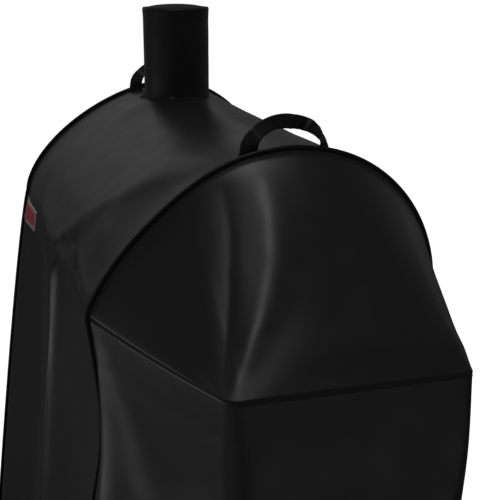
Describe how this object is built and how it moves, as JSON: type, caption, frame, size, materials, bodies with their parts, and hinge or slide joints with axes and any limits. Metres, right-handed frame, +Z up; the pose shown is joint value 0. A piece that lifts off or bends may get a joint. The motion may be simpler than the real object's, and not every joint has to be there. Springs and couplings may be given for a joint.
{
  "type": "grill cover",
  "caption": "Fitted black cloth cover for a barrel grill, with an arched top, a closed chimney sleeve, a sloping side-shelf bay, piped seams, strap handles and a full-length skirt.",
  "frame": {"origin": "middle of the cover's footprint, on the floor that the hem stands on", "axes": "+X along the barrel to the side shelf, +Y to the back, +Z up"},
  "size_m": [1.3594, 0.7862, 1.314],
  "materials": {
    "cloth": "satin, coated on the outside, fine plain weave",
    "piping": "bias tape, matt",
    "filler": "twisted cotton",
    "strap": "folded coated cloth, satin",
    "thread": "polyester thread",
    "tape": "bias tape, matt",
    "badge_red": "printed, satin",
    "badge_white": "printed, satin"
  },
  "bodies": {
    "cover": {"main_panel": "cloth", "left_end_panel": "cloth", "right_gusset_panel": "cloth", "right_skirt_panel": "cloth", "chimney_sleeve": "cloth", "chimney_cap": "cloth", "sleeve_binding": "tape", "right_piping_cover": "piping", "right_piping_cord": "filler", "left_piping_cover": "piping", "left_piping_cord": "filler", "right_seam_binding": "tape", "left_seam_binding": "tape", "shelf_seam_binding": "tape", "front_hem": "cloth", "back_hem": "cloth", "left_hem": "cloth", "right_hem": "cloth", "right_handle_feet": "strap", "left_handle_feet": "strap", "right_handle_patch": "cloth", "left_handle_patch": "cloth", "right_handle_tacks": "thread", "left_handle_tacks": "thread", "badge_field": "badge_red", "badge_border": "badge_white"},
    "right_strap": {"right_handle": "strap"},
    "left_strap": {"left_handle": "strap"}
  },
  "joints": [
    {"name": "right_handle_flop", "type": "hinge", "parent": "cover", "child": "right_strap", "pos_m": [0.27375, 0.075, 1.1115], "axis": [0, 1, 0], "range_deg": [-64, 64]},
    {"name": "left_handle_flop", "type": "hinge", "parent": "cover", "child": "left_strap", "pos_m": [-0.65625, 0.075, 1.1115], "axis": [0, 1, 0], "range_deg": [-64, 64]}
  ]
}
